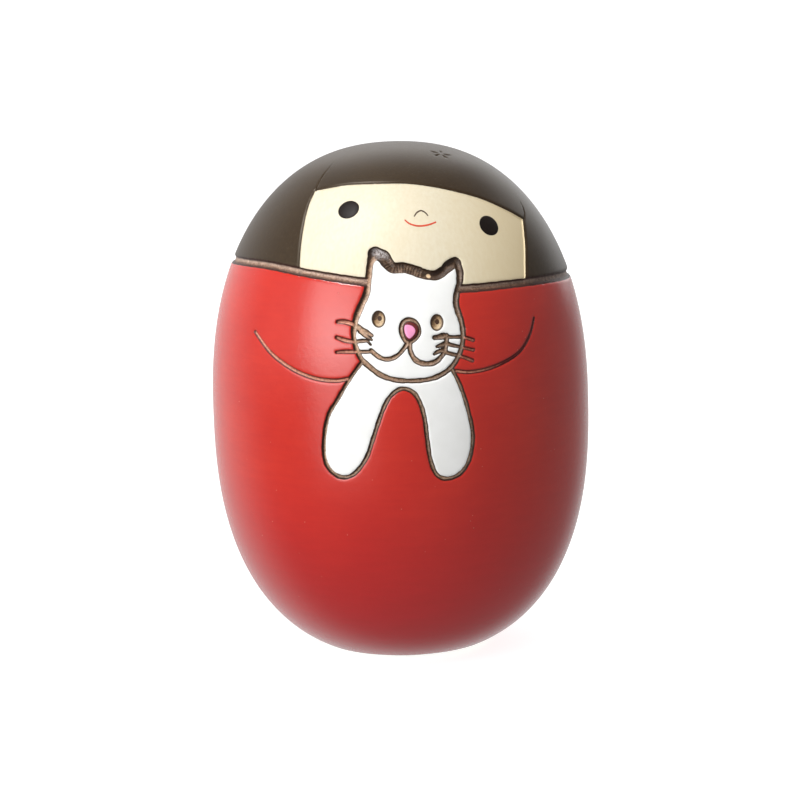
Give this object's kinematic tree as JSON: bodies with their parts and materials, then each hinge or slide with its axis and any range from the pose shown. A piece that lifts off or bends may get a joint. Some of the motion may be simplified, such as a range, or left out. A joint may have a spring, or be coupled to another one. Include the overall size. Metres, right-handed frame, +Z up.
{
  "type": "kokeshi doll",
  "caption": "Egg-shaped turned wooden doll of a girl with a dark fringe and a red robe, holding a white cat drawn in carved lines.",
  "frame": {"origin": "centre of the flat foot", "axes": "+Z up along the turned axis, the face looks along -Y, +X to the viewer's right"},
  "size_m": [0.058, 0.058, 0.0783],
  "materials": {
    "bare_wood": "pale close-grained wood under clear satin wax",
    "dowel_wood": "plain unfinished beech",
    "hair_lacquer": "dark espresso satin lacquer, open grain",
    "robe_lacquer": "red satin lacquer",
    "cat_paint": "white chalky paint",
    "cat_nose_paint": "pink paint",
    "ink": "thin dark ink",
    "eye_enamel": "glossy brown-black enamel",
    "smile_paint": "thin coral paint"
  },
  "bodies": {
    "root": {"head": "bare_wood", "body": "bare_wood", "neck_dowel": "dowel_wood", "hair_lacquer": "hair_lacquer", "robe_lacquer": "robe_lacquer", "cat_paint": "cat_paint", "cat_nose": "cat_nose_paint", "cat_pupils": "ink", "left_eye": "eye_enamel", "right_eye": "eye_enamel", "nose_line": "ink", "smile_line": "smile_paint"}
  },
  "joints": []
}
